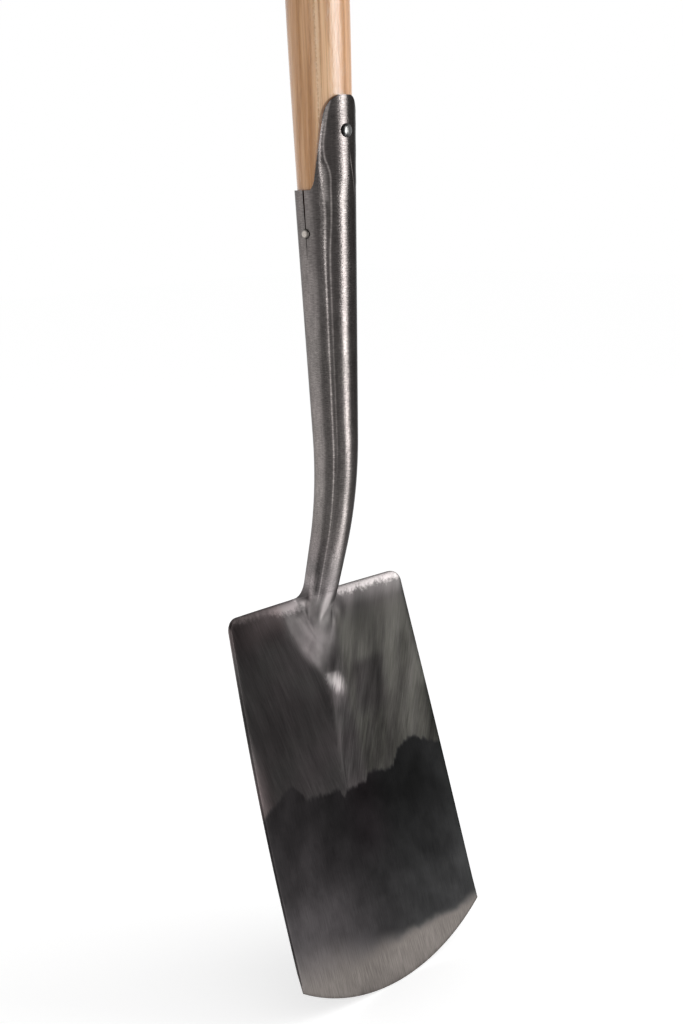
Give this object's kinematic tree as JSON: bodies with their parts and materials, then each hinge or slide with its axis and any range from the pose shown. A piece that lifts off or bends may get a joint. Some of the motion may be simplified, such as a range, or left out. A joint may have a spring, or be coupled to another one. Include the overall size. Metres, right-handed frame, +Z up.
{
  "type": "digging spade",
  "caption": "Digging spade: dished steel blade with a V-shaped boss, cranked socket with a rounded front tongue, straight ash shaft and wooden T-shaped grip.",
  "frame": {"origin": "on the shaft's axis, level with the lowest point of the cutting edge", "axes": "+Z up along the shaft to the grip, -Y to the blade's working face, X across the blade and along the grip"},
  "size_m": [0.1828, 0.0784, 1.1189],
  "materials": {
    "forged_steel": "forged carbon steel, polished along the blade, with darker patches",
    "socket_steel": "rolled steel, satin, fine lengthwise brush marks",
    "rivet_steel": "bright steel rivets and pin",
    "ash": "varnished ash with straight brown grain",
    "wedge_wood": "dark hardwood wedge"
  },
  "bodies": {
    "root": {"blade": "forged_steel", "socket": "socket_steel", "shaft": "ash", "grip": "ash", "grip_wedge": "wedge_wood", "grip_pin": "rivet_steel", "tongue_rivet": "rivet_steel", "rivet_washer": "rivet_steel", "seam_nail": "rivet_steel"}
  },
  "joints": []
}
